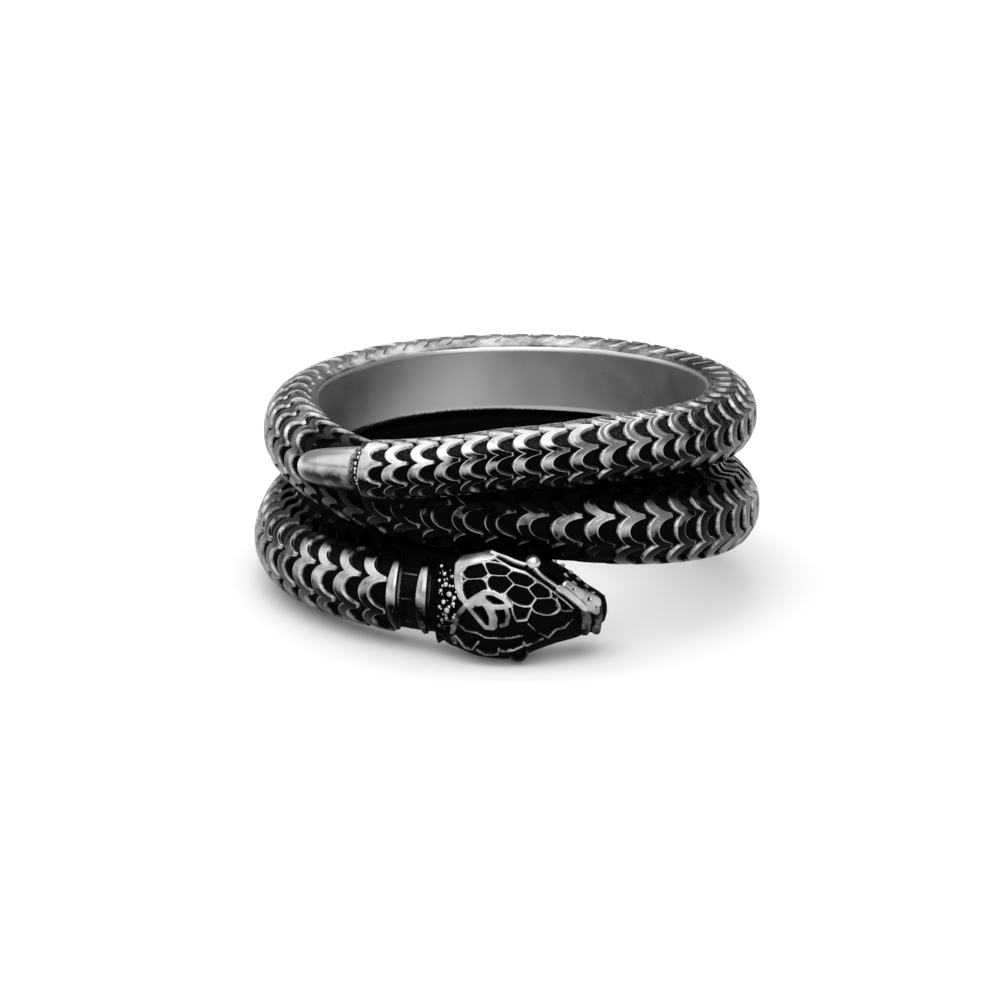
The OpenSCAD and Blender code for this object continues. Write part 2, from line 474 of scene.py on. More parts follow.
# Between these angles round the section, polish starts at the same heights
WALL_POLISH = (95, 265)
# Pockets carry a little painted light on their upper side, away from other turns and out from under them:
# angles round the section, clear space, cover
POCKET_AROUND = (10, 45)
POCKET_SPACE = (1.0, 3.0)
POCKET_COVER = (0.2, 1.2)

# Grain of the steel, in waves to a metre: grit, clouds, and brushing along each axis
GRIT_WAVES = 9000.0
CLOUD_WAVES = 900.0
BRUSHED_WAVES = (300.0, 300.0, 14000.0)
# Ends of the steel's ramps: polish with grit, painted light and wear with clouds, grit in the recesses. The
# wall's satin has the ends of its wear, then of the roughness that it adds
POLISH_ENDS = (0.72, 0.98)
LIGHT_AND_WEAR_ENDS = (0.2, 1.02)
GRAIN_ENDS = (0.35, 0.7)
SATIN_ENDS = (1.0, 1.6, 0.0, 0.10)
# How much grit roughens the edge of the polish, clouds mottle the painted light, the wear and the roughness,
# and streaks add to the bump
GRIT_SHARE = 0.7
CLOUD_SHARE = 1.5
CLOUD_ROUGHNESS = 0.16
STREAK_SHARE = 0.5
STEEL_SPECULAR = 0.03
# Bump of the steel: strength, height in metres
BUMP_STRENGTH = 0.3
BUMP_HEIGHT = 0.000005

# Soft boxes: name, place in metres, width and depth, brightness
BOXES = (
    ("front_box", (0.0, -0.62, 0.52), (1.30, 0.90), 1.62),
    ("top_box", (0.0, 0.16, 0.62), (0.90, 1.10), 1.35),
    ("left_box", (-0.66, -0.02, 0.46), (0.90, 0.80), 1.00),
)
# Point that the boxes and the camera look at, above the floor, in metres
BOXES_AIM = 0.006
CAMERA_AIM = 0.00625
FLOOR_SIZE = 3.0
SENSOR = 36
CAMERA_SHIFT = (-0.0110, -0.0402)

# Head: rings along the body and lines round it, as first and last angle and how many
HEAD_RINGS = (763.6, 804.0, 264)
HEAD_COLUMNS = (
    (-180, -105, 12),
    (-100, -52, 82),
    (-51.4, 51.4, 150),
    (52, 100, 86),
    (105, 180, 12),
)
# Rings that close the snout: share of the last ring's size, millimetres ahead of it
SNOUT_RINGS = ((0.78, 0.22), (0.40, 0.32), (0.0, 0.34))
# The hidden upper side stands up to close the gap under the second turn: height, ends of its ramps round the
# section and along the body
HIDDEN_RISE = 0.4
HIDDEN_STARTS = (92, 110)
HIDDEN_STOPS = (178, 150)
HIDDEN_ALONG = (798, 788)
# Relief shows up to these angles round the section, and from these angles along the body
SEEN_AROUND = (104, 92)
SEEN_ALONG = (763.6, 765.0)
# The head is painted into shade towards the ground: heights and share
HEAD_DIM = (3.3, 2.0, 0.3)

# Net on the head: millimetres in one share of a turned ellipse, how far a scale's edge goes into it, width
# of its slope, and how far the net reaches past the scales
SCALE_SIZE = 0.45
SCALE_EDGE = 0.03
NET_SLOPE = 0.06
NET_REACH = (0.16, 0.08)
# Painted brightness of the net
NET_BRIGHT = 0.9
# Ridges: foot as a share of half the width, how soon the crown flattens, ends of the polished top, and the
# least polish
RIDGE_FOOT = 1.15
RIDGE_ROUND = 1.25
RIDGE_TOP = (1.05, 0.85)
RIDGE_LEAST_POLISH = 0.35
# Dashes and pits: height and painted brightness of a dash, and the ends of each one's slope as shares of its
# size
DASH_HEIGHT = 0.06
DASH_BRIGHT = 0.8
DASH_ENDS = (1.2, 0.7)
PIT_ENDS = (1.1, 0.75)


def smooth(table, column, x):
    """Cubic through a column of a table, the one that the solid's source uses."""
    along = table[:, 0]
    value = table[:, column]
    secant = np.diff(value) / np.diff(along)
    inner = (value[2:] - value[:-2]) / (along[2:] - along[:-2])
    inner = np.where(secant[:-1] * secant[1:] <= 0, 0, inner)
    slope = np.concatenate([secant[:1], inner, secant[-1:]])
    i = np.clip(np.searchsorted(along, x, side="right") - 1, 0, len(along) - 2)
    width = along[i + 1] - along[i]
    u = (x - along[i]) / width
    return (
        value[i] * (1 + 2 * u) * (1 - u) ** 2
        + value[i + 1] * u * u * (3 - 2 * u)
        + width * (slope[i] * u * (1 - u) ** 2 - slope[i + 1] * u * u * (1 - u))
    )


def ramp(x, low, high):
    """0 below low, 1 above high, eased between."""
    u = np.clip((x - low) / (high - low), 0, 1)
    return u * u * (3 - 2 * u)


def dimmed(x, low, high, share):
    """What is left when a ramp takes a share away."""
    return 1 - share * ramp(x, low, high)


def between_halves(around):
    """Angles round the section, from -180 to 180."""
    return np.where(around > 180, around - 360, around)


def runs(table):
    """Even steps through each row of first, last and how many."""
    return np.concatenate([np.linspace(*row) for row in table])


def uneven(k, pitch, share):
    """A steady wobble by the number of a bead, so that beads don't look machined."""
    return share * math.sin(pitch * k)


def around_axis(azimuth, radius, height):
    """Points in millimetres from cylinder coordinates, never inside the bore."""
    angle = np.radians(azimuth)
    out = np.maximum(radius, BORE_RADIUS)
    return np.stack([out * np.cos(angle), out * np.sin(angle), height], -1)


def body_point(along, around, lift, half=None):
    """Points of the body's skin, lift above it."""
    if half is None:
        half = smooth(BODY, HALF, along)
    turn = np.radians(around)
    centre = BORE_RADIUS + CENTRE_SHARE * half + smooth(BODY, OFF, along)
    radius = centre + (DEPTH_SHARE * half + lift) * np.cos(turn)
    height = smooth(BODY, HEIGHT, along) + (half + lift) * np.sin(turn)
    return around_axis(along + START_AZIMUTH, radius, height + fuller(along, around))


def fuller(along, around):
    """How far the unseen inner edge swells towards the next turn, so that no light shows between them."""
    side = between_halves(around)
    swell = 0.0
    for turn, way in ((-360, 1), (360, -1)):
        beyond = along + turn
        other = np.clip(beyond, TURNS_START, HEAD_END)
        there = ramp(beyond, TURNS_START, TURNS_START + SWELL_ENDS)
        there = there * ramp(beyond, HEAD_END, HEAD_END - SWELL_ENDS)
        apart = way * (smooth(BODY, HEIGHT, other) - smooth(BODY, HEIGHT, along))
        room = apart - smooth(BODY, HALF, other) - smooth(BODY, HALF, along)
        reach = np.clip(0.5 * room + SWELL_OVERLAP, 0, SWELL_MOST)
        swell = swell + way * reach * there * ramp(way * side, *SWELL_AROUND)
    return swell


def head_point(along, around):
    """Points of the head's skin."""
    side = np.abs(around)
    radius = BORE_RADIUS + smooth(HEAD, DEEP, along) * smooth(JAW, 1, side)
    across = smooth(HEAD, WIDE, along) * smooth(JAW, 2, side) * np.sign(around)
    return around_axis(along + START_AZIMUTH, radius, smooth(HEAD, HEIGHT, along) + across)


def beside(along, points):
    """Clear space from each point to the nearest turn, and how far the turn above stands out over it."""
    radius = np.hypot(points[..., 0], points[..., 1])
    gap = np.full(radius.shape, FAR_AWAY)
    cover = np.full(radius.shape, -FAR_AWAY)
    for turn in (-360, 360):
        other = np.clip(along + turn, BODY[0, 0], HEAD_END)
        missed = SPACE_PAST_END * np.abs(along + turn - other)
        half = smooth(BODY, HALF, other)
        centre = BORE_RADIUS + CENTRE_SHARE * half + smooth(BODY, OFF, other)
        rise = points[..., 2] - smooth(BODY, HEIGHT, other)
        away = np.hypot((radius - centre) / DEPTH_SHARE, rise) - half
        gap = np.minimum(gap, np.maximum(away, 0) + missed)
        if turn < 0:
            cover = centre + DEPTH_SHARE * half - radius - missed
    return gap, cover


def painted_light_and_wear(along, around, points, polish, edge):
    """How bright the steel is painted: 1 on the lit upper front, 0 in painted shade underneath, at the sides
    and back and under a turn that stands out, and 0 between the turns, where patina joins the painted shade;
    above 1 on the bore's upper wall for a satin finish.
    """
    side = between_halves(around)
    x, y, z = np.moveaxis(points, -1, 0)
    gap, cover = beside(along, points)
    facing = ramp(side, *FACING_UP) * dimmed(side, *TOP_DIM)
    facing = facing * dimmed(x, *RIGHT_DIM) * dimmed(-x, *LEFT_DIM)
    facing = facing * (1 - BACK_DIM * ramp(y, *BACK_RAMP) * ramp(np.abs(x - BACK_MIDDLE), *BACK_SIDES))
    under = ramp(cover, *COVERED)
    line = ramp(np.abs(side - LINE_AROUND), *LINE_ENDS)
    facing = facing * (1 - COVERED_DIM * under) + LINE_SHARE * under * line
    facing = facing + edge * (1 - facing) * EDGE_SHARE * dimmed(side, *EDGE_DIM)
    upper = ramp(side, *UPPER_HALF)
    facing = facing * (upper * ramp(gap, *UPPER_SPACE) + (1 - upper) * ramp(gap, *LOWER_SPACE))
    wall = ramp(z, *WALL_HEIGHTS) * ramp(np.abs(side), *WALL_AROUND)
    raised = np.where(np.abs(side) > WALL_AROUND[0], WALL_WEAR * wall, facing)
    sunk = ramp(side, *POCKET_AROUND) * ramp(gap, *POCKET_SPACE) * (1 - ramp(cover, *POCKET_COVER))
    return polish * raised + (1 - polish) * sunk


def outwards(points):
    """Unit normals of a grid of points, rings first, away from the inside."""
    along = np.gradient(points, axis=0)
    across = np.gradient(points, axis=1)
    normal = np.cross(across, along)
    normal /= np.linalg.norm(normal, axis=-1, keepdims=True) + 1e-12
    radial = points * (1, 1, 0)
    front = points.shape[1] // 2
    if np.sum(normal[:, front] * radial[:, front]) < 0:
        normal = -normal
    return normal


def finish_mesh(bm, name, material):
    """Turn a bmesh into a finished piece that rides on the ring."""
    mesh = bpy.data.meshes.new(name)
    bm.to_mesh(mesh)
    bm.free()
    mesh.materials.append(material)
    mesh.polygons.foreach_set("use_smooth", [True] * len(mesh.polygons))
    piece = bpy.data.objects.new(name, mesh)
    bpy.context.scene.collection.objects.link(piece)
    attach(piece, "root")
    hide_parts(NODE)
    return piece


def wrap_grid(name, points, polish, light_and_wear, material):
    """A closed skin through rings of points; its last column meets its first."""
    rings, around = polish.shape
    bm = bmesh.new()
    bmesh.ops.create_grid(bm, x_segments=around - 1, y_segments=rings - 1, size=0.5)
    polished = bm.verts.layers.float.new("polish")
    # This layer holds painted light and shade, along with wear
    bright = bm.verts.layers.float.new("painted_light_and_wear")
    for vertex in bm.verts:
        i = round((vertex.co.y + 0.5) * (rings - 1))
        j = round((vertex.co.x + 0.5) * (around - 1))
        vertex.co = points[i, j] * MM
        vertex[polished] = polish[i, j]
        vertex[bright] = light_and_wear[i, j]
    bmesh.ops.remove_doubles(bm, verts=bm.verts, dist=1e-7)
    open_edges = [edge for edge in bm.edges if edge.is_boundary]
    if open_edges:
        for edge in open_edges:
            edge.smooth = False
        bmesh.ops.holes_fill(bm, edges=open_edges, sides=0)
    bmesh.ops.recalc_face_normals(bm, faces=bm.faces)
    return finish_mesh(bm, name, material)


def polish_all(bm):
    """Mark every vertex as polished, and painted as bright as its height tells, shaded low and lit high."""
    polished = bm.verts.layers.float.new("polish")
    # This layer holds painted light and shade, along with wear
    bright = bm.verts.layers.float.new("painted_light_and_wear")
    for vertex in bm.verts:
        vertex[polished] = 1.0
        vertex[bright] = float(ramp(vertex.co.z / MM, *BEAD_HEIGHTS))


def scale_columns():
    """Angles round the section, with the place across a scale (-1 to 1) and how far the scales have faded."""
    angles = []
    across = []
    fade = []
    step = np.linspace(-1, 1, SAMPLES_PER_SCALE + 1)
    eased = (1 - SAMPLE_EASE) * step + SAMPLE_EASE * np.sin(step * math.pi / 2)
    for scale in range(SCALES_ACROSS):
        middle = FIRST_POINTS + (scale + 0.5) * SCALE_WIDTH
        last = scale == SCALES_ACROSS - 1
        for t in eased if last else eased[:-1]:
            angles.append(middle + t * SCALE_WIDTH / 2)
            across.append(t)
            fade.append(1.0)
    bore_edge = math.degrees(math.acos(-CENTRE_SHARE / DEPTH_SHARE))
    lower_edge = 360 - bore_edge
    last_points = FIRST_POINTS + SCALES_ACROSS * SCALE_WIDTH
    low_start = 360 + FIRST_POINTS
    above, inside, below = PLAIN_LINES
    plain = [(a, 0.0) for a in np.linspace(last_points, bore_edge, above)[1:]]
    plain += [(a, 0.0) for a in np.linspace(bore_edge, lower_edge, inside)[1:]]
    plain += [(a, ramp(a, lower_edge, low_start)) for a in np.linspace(lower_edge, low_start, below)[1:]]
    for angle, share in plain:
        angles.append(angle)
        across.append(1.0)
        fade.append(float(share))
    fade = np.array(fade) * (1 - ramp(np.array(angles), *FADE_AROUND))
    return np.array(angles), np.array(across), fade


def arc(t, width):
    """0 in the middle of a scale and 1 at its sides, along a round arc."""
    return (1 - np.sqrt(1 - np.minimum(np.abs(t) * width, width) ** 2)) / (1 - math.sqrt(1 - width**2))


def row_starts():
    """Angle along the body of each row of scale points, with the spacing to the next."""
    rows = []
    along = FIRST_ROW
    while along < LAST_ROW:
        spacing = float(np.interp(along, SPACING[:, 0], SPACING[:, 1]))
        rows.append((along, spacing))
        along += spacing
    return rows


def band_edges(looks, t):
    """Outer and inner edge of a band of scales, in row spacings from its points."""
    outer = -looks.bulge - (looks.stem - looks.bulge) * arc(t, OUTER_ARC)
    tip = np.minimum(np.abs(t) / INNER_SPAN, 1)
    inner = (looks.band - looks.bulge) * (1 - arc(tip, INNER_ARC))
    return outer, inner


def row_lines(rows, before, looks, across, fade, engraved):
    """Lines of each row: place along the body, depth as a share of the relief, shine and worn edge."""
    scalloped = band_edges(looks, across)
    along = []
    depth = []
    shine = []
    edge = []
    for k, (start, spacing) in enumerate(rows):
        previous = rows[k - 1] if k else before
        outer, inner = scalloped
        if previous:
            near = previous[0] + previous[1] * (inner + EDGE_GAP)
            far = start + spacing * (outer - EDGE_GAP)
            for share in FLOOR_LINES if k else (0.0, *FLOOR_LINES):
                along.append(near + share * (far - near))
                depth.append((FLOOR_DEPTH if share else 1.0) * fade)
                shine.append(1.0 - fade)
                edge.append(0.0 * fade)
        else:
            outer = np.full_like(outer, -looks.bulge)
        for place, extra, low, light_and_wear, line in BAND_LINES:
            cut = line * engraved if ENGRAVED[0] < start < ENGRAVED[1] else 0 * engraved
            along.append(start + spacing * (outer + place * (inner - outer) + extra))
            depth.append((low + ENGRAVED_DEPTH * cut) * fade)
            shine.append(1.0 - ENGRAVED_DULL * cut if low < POLISHED_TO else 1.0 - fade)
            edge.append(light_and_wear * fade)
    return np.array(along), np.array(depth), np.array(shine), np.array(edge)


def scaled_skin(name, rows, before, looks, material):
    """One stretch of the body: raised bands over sunk pockets, from the pockets of the row before."""
    angles, across, fade = scale_columns()
    engraved = ramp(angles, *ENGRAVED_STARTS) * ramp(angles, *ENGRAVED_STOPS)
    along, depth, shine, edge = row_lines(rows, before, looks, across, fade, engraved)
    room, _ = beside(along, body_point(along, angles, 0.0))
    depth = depth * looks.relief / MM * (TIGHT_RELIEF + (1 - TIGHT_RELIEF) * ramp(room, *TIGHT_SPACE))
    back = ramp(along, *BACK_STARTS) * ramp(along, *BACK_STOPS)
    low, high, share = BACK_RELIEF
    points = body_point(along, angles, -depth * (1 - share * back * ramp(angles, low, high)))
    polish = np.maximum(shine, BACK_SHINE * back * ramp(angles, *BACK_POLISH))
    # Painted light and shade on the steel, with patina between the turns
    light_and_wear = painted_light_and_wear(along, angles, points, polish, edge)
    patchy = PATCHY_SHARE * ramp(along, *PATCHY_STARTS) * ramp(along, *PATCHY_STOPS)
    patchy = patchy * ramp(angles, *PATCHY_BELOW)
    light_and_wear = light_and_wear * (1 - patchy * (1 - edge) * ramp(np.abs(across), *PATCHY_ACROSS))
    inside = (angles > WALL_POLISH[0]) & (angles < WALL_POLISH[1])
    wall = np.where(inside, ramp(points[..., 2], *WALL_HEIGHTS), 1.0)
    polish = polish * ramp(room, *TIGHT_POLISH) * wall
    closed = [np.concatenate([part, part[:, :1]], 1) for part in (points, polish, light_and_wear)]
    return wrap_grid(name, *closed, material)


def nodes_of(name):
    """A new material with its node tree and its shader."""
    material = bpy.data.materials.new(name)
    material.use_nodes = True
    tree = material.node_tree
    return material, tree, tree.nodes["Principled BSDF"]


def add_node(tree, kind, values=(), links=(), **settings):
    """A node with its settings, socket values and incoming links."""
    node = tree.nodes.new(kind)
    for key, value in settings.items():
        setattr(node, key, value)
    for socket, value in values:
        node.inputs[socket].default_value = value
    for socket, source in links:
        tree.links.new(source, node.inputs[socket])
    return node


def noise(tree, coords, scale, detail):
    """A noise texture's value on given coordinates."""
    return add_node(
        tree, "ShaderNodeTexNoise", [("Scale", scale), ("Detail", detail), ("Roughness", 0.6)],
        [("Vector", coords)],
    ).outputs["Fac"]


def maths(tree, operation, first, second, third=0.0):
    """The result of one sum; each operand is a socket or a number."""
    node = add_node(tree, "ShaderNodeMath", operation=operation)
    for socket, value in zip(node.inputs, (first, second, third)):
        if isinstance(value, (int, float)):
            socket.default_value = value
        else:
            tree.links.new(value, socket)
    return node.outputs[0]


def span(tree, value, low, high, to_low=0.0, to_high=1.0):
    """A value carried from one range to another."""
    return add_node(
        tree, "ShaderNodeMapRange",
        [("From Min", low), ("From Max", high), ("To Min", to_low), ("To Max", to_high)],
        [("Value", value)],
    ).outputs["Result"]


def cast_steel(looks):
    """Steel: polished where the polish attribute is 1, blackened where it is 0, in painted shade where the
    painted light is 0.
    """
    found = bpy.data.materials.get("cast_steel")
    if found:
        return found
    material, tree, shader = nodes_of("cast_steel")
    coords = add_node(tree, "ShaderNodeTexCoord").outputs["Object"]
    polish = add_node(tree, "ShaderNodeAttribute", attribute_name="polish").outputs["Fac"]
    # This attribute holds painted light and shade, along with wear
    light_and_wear = add_node(tree, "ShaderNodeAttribute", attribute_name="painted_light_and_wear").outputs["Fac"]
    grit = noise(tree, coords, GRIT_WAVES, 3.0)
    cloud = noise(tree, coords, CLOUD_WAVES, 4.0)
    brushed = add_node(
        tree, "ShaderNodeMapping", [("Scale", BRUSHED_WAVES)], [("Vector", coords)],
    ).outputs["Vector"]
    streak = noise(tree, brushed, 1.0, 3.0)
    ragged = maths(tree, "MULTIPLY_ADD", grit, GRIT_SHARE, polish)
    mask = span(tree, ragged, *POLISH_ENDS)
    patches = maths(tree, "MULTIPLY_ADD", cloud, CLOUD_SHARE, -CLOUD_SHARE / 2)
    mottle = maths(tree, "ADD", patches, light_and_wear)
    # Base colour runs from the near-black painted shade colour to polished steel by the painted light
    pale = mixed_colour(tree, span(tree, mottle, *LIGHT_AND_WEAR_ENDS), looks.shaded_steel, looks.steel)
    # The recess grain shows only as far as painted light falls into the pockets
    grain = maths(tree, "MULTIPLY", span(tree, grit, *GRAIN_ENDS), light_and_wear)
    dark = mixed_colour(tree, grain, looks.recess, looks.recess_grain)
    both = add_node(tree, "ShaderNodeMix", data_type="RGBA")
    tree.links.new(mask, both.inputs[0])
    tree.links.new(dark.outputs[2], both.inputs[6])
    tree.links.new(pale.outputs[2], both.inputs[7])
    tree.links.new(both.outputs[2], shader.inputs["Base Color"])
    tree.links.new(mask, shader.inputs["Metallic"])
    rough = span(tree, mask, 0.0, 1.0, looks.recess_roughness, looks.roughness)
    satin = span(tree, light_and_wear, *SATIN_ENDS)
    varied = maths(tree, "MULTIPLY_ADD", cloud, CLOUD_ROUGHNESS, satin)
    tree.links.new(maths(tree, "ADD", rough, varied), shader.inputs["Roughness"])
    shader.inputs["Specular IOR Level"].default_value = STEEL_SPECULAR
    height = maths(tree, "MULTIPLY_ADD", streak, STREAK_SHARE, grit)
    bump = add_node(
        tree, "ShaderNodeBump",
        [("Strength", BUMP_STRENGTH), ("Distance", BUMP_HEIGHT)],
        [("Height", height)],
    )
    tree.links.new(bump.outputs["Normal"], shader.inputs["Normal"])
    return material


def mixed_colour(tree, factor, low, high):
    """A colour mix from low to high by a factor."""
    mix = add_node(tree, "ShaderNodeMix", data_type="RGBA")
    tree.links.new(factor, mix.inputs[0])
    mix.inputs[6].default_value = (*low, 1)
    mix.inputs[7].default_value = (*high, 1)
    return mix


def plain_floor(looks):
    """The pale floor's material."""
    material, _, shader = nodes_of("pale_floor")
    shader.inputs["Base Color"].default_value = (*looks.floor, 1)
    shader.inputs["Roughness"].default_value = 0.8
    shader.inputs["Specular IOR Level"].default_value = 0.1
    return material


class BodyLooks(bpy.types.PropertyGroup):
    relief: FloatProperty(
        name="Relief", description="Depth of the pockets under the bands",
        default=0.30 * MM, unit="LENGTH", precision=5,
    )
    bulge: FloatProperty(
        name="Bulge", description="How far a band's outer edge lies tailwards of its points, in row spacings",
        default=0.97, min=0.1, max=1.4, subtype="FACTOR",
    )
    band: FloatProperty(
        name="Band", description="Width of a band in the middle of a scale, in row spacings",
        default=0.41, min=0.1, max=0.8, subtype="FACTOR",
    )
    stem: FloatProperty(
        name="Stem", description="Length of a band's points, in row spacings",
        default=0.58, min=0.1, max=0.9, subtype="FACTOR",
    )


class HeadLooks(bpy.types.PropertyGroup):
    net: FloatProperty(
        name="Net", description="Width of the lines between the head's scales",
        default=0.08 * MM, unit="LENGTH", precision=5,
    )
    sunk: FloatProperty(
        name="Sunk", description="Depth of the head's scales under the net",
        default=0.20 * MM, unit="LENGTH", precision=5,
    )
    eye: FloatProperty(
        name="Eye", description="Radius of an eye",
        default=0.38 * MM, unit="LENGTH", precision=5,
    )
    bead: FloatProperty(
        name="Bead", description="Radius of a bead on the nape",
        default=0.135 * MM, unit="LENGTH", precision=5,
    )


class SteelLooks(bpy.types.PropertyGroup):
    steel: FloatVectorProperty(
        name="Steel", description="Polished steel", default=(0.54, 0.54, 0.55), subtype="COLOR",
    )
    # Near-black steel colour for painted shade
    shaded_steel: FloatVectorProperty(
        name="Dull steel", description="Steel that hands and cloth don't reach",
        default=(0.002, 0.002, 0.002), subtype="COLOR",
    )
    recess: FloatVectorProperty(
        name="Recess", description="Blackened recesses",
        default=(0.001, 0.001, 0.001), subtype="COLOR",
    )
    recess_grain: FloatVectorProperty(
        name="Recess grain", description="Lighter grain in the recesses",
        default=(0.03, 0.03, 0.03), subtype="COLOR",
    )
    roughness: FloatProperty(
        name="Roughness", description="Roughness of the polished steel", default=0.18, subtype="FACTOR",
    )
    recess_roughness: FloatProperty(
        name="Recess roughness", description="Roughness of the recesses", default=0.6, subtype="FACTOR",
    )


class StageLooks(bpy.types.PropertyGroup):
    floor: FloatVectorProperty(
        name="Floor", description="Colour of the floor", default=(0.92, 0.92, 0.92), subtype="COLOR",
    )
    elevation: FloatProperty(
        name="Elevation", description="Angle of the camera above the floor",
        default=math.radians(17), subtype="ANGLE",
    )
    distance: FloatProperty(
        name="Distance", description="Distance from the camera to the ring", default=0.3, unit="LENGTH",
    )
    roll: FloatProperty(
        name="Roll", description="Turn of the camera about its view",
        default=math.radians(1.015), subtype="ANGLE",
    )
    lens: FloatProperty(
        name="Lens", description="Focal length of the camera", default=220.2, unit="CAMERA",
    )
    world: FloatProperty(
        name="World", description="Strength of the light from all round", default=0.36, min=0,
    )


class RING_OT_scaled_body(bpy.types.Operator):
    """Build the scaled body in three stretches"""

    bl_idname = "snake_ring.scaled_body"
    bl_label = "Scaled body"

    def execute(self, context):
        looks = context.scene.ring_body
        steel = cast_steel(context.scene.ring_steel)
        rows = row_starts()
        third = len(rows) // 3
        stretches = (
            ("first_turn", 0, third),
            ("second_turn", third, 2 * third),
            ("third_turn", 2 * third, len(rows)),
        )
        for name, first, last in stretches:
            before = rows[first - 1] if first else None
            scaled_skin(name, rows[first:last], before, looks, steel)
        return {"FINISHED"}


class RING_OT_tail_tip(bpy.types.Operator):
    """Build the smooth tail tip"""

    bl_idname = "snake_ring.tail_tip"
    bl_label = "Tail tip"

    def execute(self, context):
        along = runs(TIP_RINGS)
        around = np.linspace(-180, 180, TIP_COLUMNS)
        straight = np.interp(along, TIP[:, 0], TIP[:, 1])
        half = straight * TIP_STRAIGHT + smooth(TIP, 1, along) * (1 - TIP_STRAIGHT)
        half[0] = TIP_POINT
        points = body_point(along[:, None], around[None, :], 0.0, half[:, None])
        dull = sum(share * ramp(along, low, high) for low, high, share in TIP_DULL)
        polish = np.repeat((1 - dull)[:, None], len(around), 1)
        # Painted light on the tip's upper side, painted shade below
        light_and_wear = TIP_SHADED_SIDE + ramp(around, *TIP_FACING)[None, :] + 0 * polish
        steel = cast_steel(context.scene.ring_steel)
        wrap_grid("tail_tip", points, polish, light_and_wear, steel)
        bm = bmesh.new()
        for k in range(TIP_BEADS):
            turn = 360 * (k + uneven(k, 5, 0.3)) / TIP_BEADS
            place = body_point(TIP_BEAD_ALONG + uneven(k, 3, 0.25), turn, TIP_BEAD_LIFT, TIP[-1, 1])
            bmesh.ops.create_icosphere(
                bm, subdivisions=2, radius=TIP_BEAD * (1 + uneven(k, 7, 0.3)) * MM,
                matrix=Matrix.Translation(Vector(place) * MM),
            )
        polish_all(bm)
        finish_mesh(bm, "tip_beads", steel)
        return {"FINISHED"}


class RING_OT_collar(bpy.types.Operator):
    """Build the neck with its two collar bands and the ribs between them"""

    bl_idname = "snake_ring.collar"
    bl_label = "Collar and neck"

    def execute(self, context):
        angles = np.linspace(-180, 180, COLLAR_COLUMNS)
        plain = 0 * angles
        bow = BAND_BOW * (1 + np.cos(np.radians(angles))) / 2
        lens = np.cos(np.radians(np.clip((angles - BAND_MIDDLE) * BAND_NARROWS, -90, 90)))
        width = BAND_WIDTH * (BAND_LEAST + (1 - BAND_LEAST) * lens**BAND_TAPER)
        raised = ramp(lens, *BAND_RISES)
        groove = -NECK_DEPTH * (1 - ramp(angles, *NECK_RISES))
        ribs = sum(ramp(np.abs(angles - rib), *RIB_FLANK) for rib in COLLAR_RIBS)
        rows = [(along + plain, groove, plain) for along in NECK_FIRST]
        for band, middle in enumerate(BANDS):
            start = middle - width / 2
            for share, extra, lift, shine in BAND_PROFILE:
                height = groove + BAND_HEIGHT * lift * raised
                rows.append((start + share * width + extra - bow, height, shine * raised))
            if band == 0:
                room = BANDS[1] - BANDS[0] - width - 2 * BAND_FOOT
                for share in RIB_LINES:
                    inside = start + width + BAND_FOOT + share * room
                    rows.append((inside - bow, groove + RIB_HEIGHT * ribs, RIB_POLISH * ribs))
        for along in np.linspace(*NECK_LAST):
            rows.append((along + plain, groove * ramp(along, *NECK_LEVELS), plain))
        along, lift, polish = (np.array(column) for column in zip(*rows))
        points = body_point(along, angles, lift)
        # Painted light and shade on the collar
        light_and_wear = painted_light_and_wear(along, angles, points, polish, COLLAR_EDGE)
        wrap_grid("collar", points, polish, light_and_wear, cast_steel(context.scene.ring_steel))
        return {"FINISHED"}


class RING_OT_nape_beads(bpy.types.Operator):
    """Build the beads on the nape"""

    bl_idname = "snake_ring.nape_beads"
    bl_label = "Nape beads"

    def execute(self, context):
        radius = context.scene.ring_head.bead
        bm = bmesh.new()
        for ahead, across, share in NAPE_BEADS:
            place = nape_point(ahead, across) * MM
            bmesh.ops.create_icosphere(
                bm, subdivisions=2, radius=radius * share, matrix=Matrix.Translation(place),
            )
        for k in range(SMALL_BEADS):
            ahead = SMALL_FIRST + SMALL_STEP * (k % SMALL_LINES) + uneven(k, 4.1, 0.10)
            across = SMALL_ACROSS[0] + (SMALL_ACROSS[1] - SMALL_ACROSS[0]) * k / SMALL_BEADS
            place = nape_point(ahead, across + uneven(k, 2.3, 0.06)) * MM
            size = radius * (SMALL_SHARE + uneven(k, 6.7, 0.15))
            bmesh.ops.create_icosphere(bm, subdivisions=2, radius=size, matrix=Matrix.Translation(place))
        polish_all(bm)
        finish_mesh(bm, "nape_beads", cast_steel(context.scene.ring_steel))
        return {"FINISHED"}


def nape_point(ahead, across):
    """A point on the neck or the back of the head, from millimetres ahead and across."""
    around = np.linspace(*NAPE_AROUND)
    along = NAPE + math.degrees(ahead / HEAD_RADIUS)
    if along < HEAD[0, 0]:
        ring = body_point(along + 0 * around, around, NECK_SKIN)
    else:
        ring = head_point(along + 0 * around, around)
    steps = np.concatenate([[0], np.cumsum(np.linalg.norm(np.diff(ring, axis=0), axis=1))])
    place = steps - np.interp(0, around, steps)
    return Vector([float(np.interp(across, place, ring[:, c])) for c in range(3)])


def turned(ahead, across, row):
    """Place in a row's own turned ellipse: shares of its half length and half width."""
    angle = math.radians(row[4])
    x = ahead - row[0]
    y = across - row[1]
    along = (x * math.cos(angle) + y * math.sin(angle)) / row[2]
    aside = (y * math.cos(angle) - x * math.sin(angle)) / row[3]
    return np.sqrt(along**2 + aside**2)


